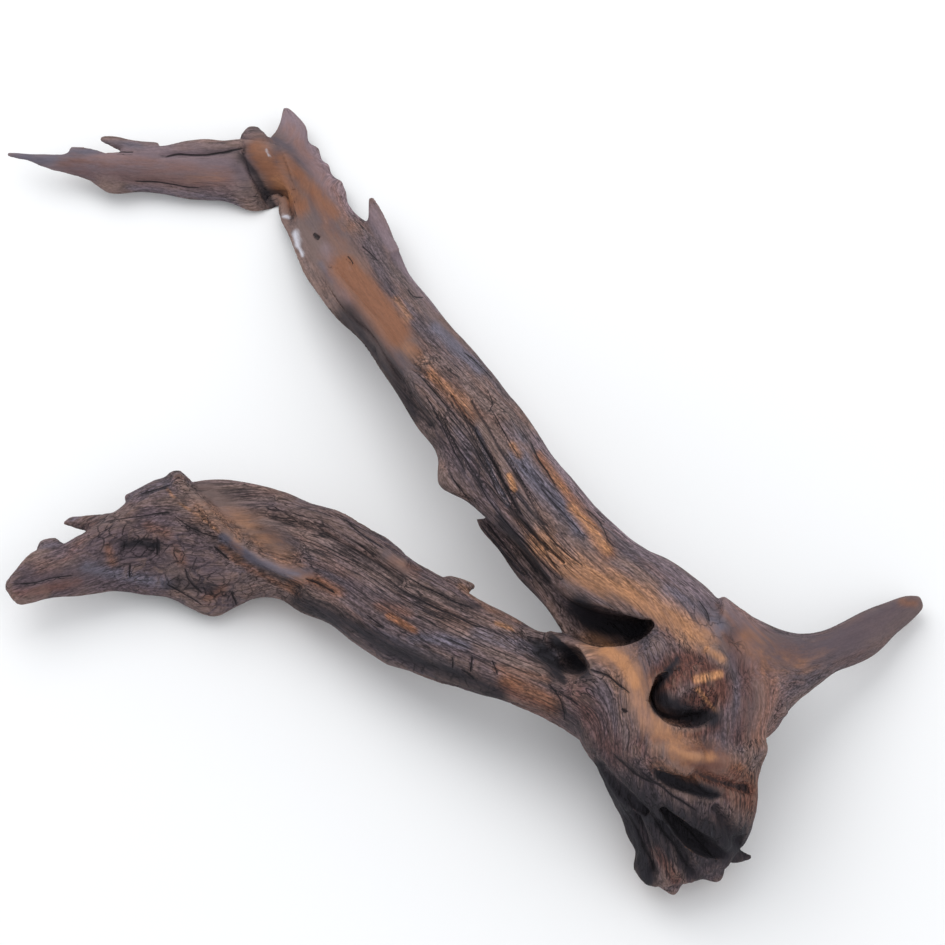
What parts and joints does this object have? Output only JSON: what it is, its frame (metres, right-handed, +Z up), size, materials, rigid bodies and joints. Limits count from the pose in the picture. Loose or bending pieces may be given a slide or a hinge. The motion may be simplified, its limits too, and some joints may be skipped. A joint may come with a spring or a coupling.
{
  "type": "aquarium driftwood",
  "caption": "Weathered forked driftwood for an aquarium: a hollowed, knotted stump with long spreading limbs and a root spur, lying on its low points.",
  "frame": {"origin": "middle of the wood's outline, on the surface that it lies on", "axes": "+Z up, +X from the limbs' broken ends towards the stump and its spur, +Y from the stump towards the upper limb's end"},
  "size_m": [0.5705, 0.5537, 0.1012],
  "materials": {
    "weathered_wood": "matt, dark purple-brown heartwood with rust and tan stains, checked along the grain"
  },
  "bodies": {
    "root": {"driftwood": "weathered_wood"}
  },
  "joints": []
}
